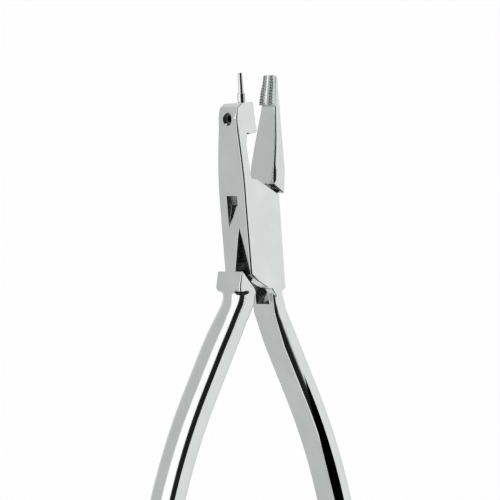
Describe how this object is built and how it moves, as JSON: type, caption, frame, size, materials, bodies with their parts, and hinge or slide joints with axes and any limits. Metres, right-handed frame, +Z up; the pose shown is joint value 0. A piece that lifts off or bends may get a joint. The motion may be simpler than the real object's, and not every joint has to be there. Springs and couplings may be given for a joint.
{
  "type": "crimping pliers",
  "caption": "Slender box-joint crimping pliers with a clamped round crimping pin facing a toothed pad, and long plain steel handles.",
  "frame": {"origin": "on the pivot axis, at the lower cheek face that the pliers rest on when they lie flat", "axes": "+Y from the pivot to the jaw tips, X the direction in which the jaws open, +Z up along the pivot axis"},
  "size_m": [0.068, 0.1374, 0.0093],
  "materials": {
    "outer_steel": "polished stainless steel",
    "inner_steel": "polished stainless steel",
    "pivot_steel": "polished flush with the cheeks",
    "pin_steel": "ground hardened steel",
    "screw_steel": "dark oxide",
    "pad_steel": "hardened steel with cut teeth"
  },
  "bodies": {
    "outer_half_body": {"outer_half": "outer_steel", "pivot_pin": "pivot_steel"},
    "inner_half_body": {"inner_half": "inner_steel", "toothed_pad": "pad_steel"},
    "crimp_pin_body": {"crimp_pin": "pin_steel"},
    "set_screw_body": {"set_screw": "screw_steel"}
  },
  "joints": [
    {"name": "jaw_pivot", "type": "hinge", "parent": "outer_half_body", "child": "inner_half_body", "pos_m": [0, 0, 0.00465], "axis": [0, 0, 1], "range_deg": [-8, 11.6]},
    {"name": "crimp_pin_slide", "type": "slide", "parent": "outer_half_body", "child": "crimp_pin_body", "axis": [-0.0698, 0.9976, 0], "range_m": [0, 0.007]},
    {"name": "set_screw_turn", "type": "hinge", "parent": "outer_half_body", "child": "set_screw_body", "pos_m": [-0.00607, 0.02661, 0.00465], "axis": [-0.9945, -0.1045, 0], "range_deg": [0, 360]}
  ]
}
